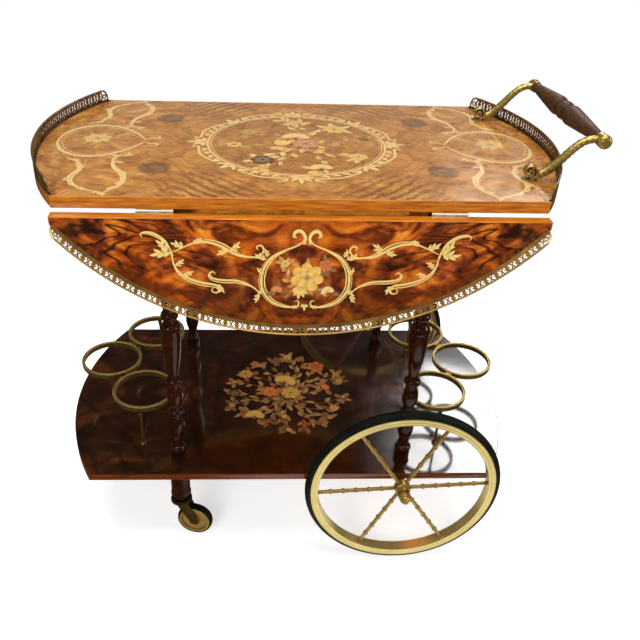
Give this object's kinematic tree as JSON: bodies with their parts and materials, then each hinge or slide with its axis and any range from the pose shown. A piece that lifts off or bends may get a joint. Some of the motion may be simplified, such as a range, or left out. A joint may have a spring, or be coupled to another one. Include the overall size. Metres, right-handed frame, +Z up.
{
  "type": "bar cart",
  "caption": "Drop-leaf bar cart with an inlaid wooden top, hinged half-moon leaves, pierced brass galleries, bottle rings on a lower shelf, spoked wheels and casters.",
  "frame": {"origin": "on the floor, under the centre of the table top", "axes": "+X along the cart towards the push handle, +Y across the cart away from the front leaf, +Z up"},
  "size_m": [0.8771, 0.5728, 0.7991],
  "materials": {
    "burl_veneer": "high-gloss lacquered burl veneer with pale inlay",
    "shelf_veneer": "high-gloss lacquered dark veneer with floral inlay",
    "turned_wood": "gloss lacquered turned hardwood",
    "frame_wood": "plain satin hardwood",
    "antique_brass": "aged brass",
    "polished_brass": "polished brass",
    "black_rubber": "matte black rubber",
    "steel": "plain steel"
  },
  "bodies": {
    "chassis": {"apron_front": "frame_wood", "apron_left": "frame_wood", "apron_rear": "frame_wood", "apron_right": "frame_wood", "axle": "steel", "axle_beam": "frame_wood", "axle_spacers": "steel", "bottle_rack_rods_left": "antique_brass", "bottle_rack_rods_right": "antique_brass", "bottle_ring_left_front": "antique_brass", "bottle_ring_left_middle": "antique_brass", "bottle_ring_left_rear": "antique_brass", "bottle_ring_right_front": "antique_brass", "bottle_ring_right_middle": "antique_brass", "bottle_ring_right_rear": "antique_brass", "caster_foot_front": "turned_wood", "caster_foot_rear": "turned_wood", "caster_socket_front": "antique_brass", "caster_socket_rear": "antique_brass", "edge_batten_front": "frame_wood", "edge_batten_rear": "frame_wood", "front_hinge_pins": "steel", "front_hinge_plates": "antique_brass", "handle_arm_front": "antique_brass", "handle_arm_rear": "antique_brass", "handle_bolt": "steel", "handle_caps": "antique_brass", "handle_grip": "turned_wood", "hub_caps": "polished_brass", "leg_front_left": "turned_wood", "leg_front_right": "turned_wood", "leg_rear_left": "turned_wood", "leg_rear_right": "turned_wood", "loper_front": "frame_wood", "loper_rear": "frame_wood", "lower_shelf": "shelf_veneer", "rear_hinge_pins": "steel", "rear_hinge_plates": "antique_brass", "table_top": "burl_veneer", "top_gallery_left": "antique_brass", "top_gallery_right": "antique_brass"},
    "front_leaf_wing": {"front_leaf": "burl_veneer", "front_leaf_gallery": "antique_brass", "front_leaf_hinge_flaps": "antique_brass"},
    "rear_leaf_wing": {"rear_leaf": "burl_veneer", "rear_leaf_gallery": "antique_brass", "rear_leaf_hinge_flaps": "antique_brass"},
    "front_wheel": {"front_wheel_rim": "polished_brass", "front_wheel_spokes": "polished_brass", "front_wheel_hub": "polished_brass", "front_wheel_tyre": "black_rubber"},
    "rear_wheel": {"rear_wheel_rim": "polished_brass", "rear_wheel_spokes": "polished_brass", "rear_wheel_hub": "polished_brass", "rear_wheel_tyre": "black_rubber"},
    "front_caster_fork": {"caster_horn_front": "antique_brass"},
    "rear_caster_fork": {"caster_horn_rear": "antique_brass"},
    "front_caster_roller": {"caster_front_wheel": "polished_brass", "caster_front_tyre": "black_rubber"},
    "rear_caster_roller": {"caster_rear_wheel": "polished_brass", "caster_rear_tyre": "black_rubber"}
  },
  "joints": [
    {"name": "front_leaf_hinge", "type": "hinge", "parent": "chassis", "child": "front_leaf_wing", "pos_m": [0, -0.237, 0.6986], "axis": [-1, 0, 0], "range_deg": [0, 90]},
    {"name": "rear_leaf_hinge", "type": "hinge", "parent": "chassis", "child": "rear_leaf_wing", "pos_m": [0, 0.237, 0.6986], "axis": [1, 0, 0], "range_deg": [0, 90]},
    {"name": "front_wheel_spin", "type": "hinge", "parent": "chassis", "child": "front_wheel", "pos_m": [0.197, -0.247, 0.1745], "axis": [0, 1, 0], "continuous": true},
    {"name": "rear_wheel_spin", "type": "hinge", "parent": "chassis", "child": "rear_wheel", "pos_m": [0.197, 0.247, 0.1745], "axis": [0, 1, 0], "continuous": true},
    {"name": "front_caster_swivel", "type": "hinge", "parent": "chassis", "child": "front_caster_fork", "pos_m": [-0.205, -0.18, 0.083], "axis": [0, 0, 1], "continuous": true},
    {"name": "front_caster_roll", "type": "hinge", "parent": "front_caster_fork", "child": "front_caster_roller", "pos_m": [-0.18055, -0.1852, 0.034], "axis": [0.2079, 0.9781, 0], "continuous": true},
    {"name": "rear_caster_swivel", "type": "hinge", "parent": "chassis", "child": "rear_caster_fork", "pos_m": [-0.205, 0.18, 0.083], "axis": [0, 0, 1], "continuous": true},
    {"name": "rear_caster_roll", "type": "hinge", "parent": "rear_caster_fork", "child": "rear_caster_roller", "pos_m": [-0.18055, 0.1748, 0.034], "axis": [0.2079, 0.9781, 0], "continuous": true}
  ]
}
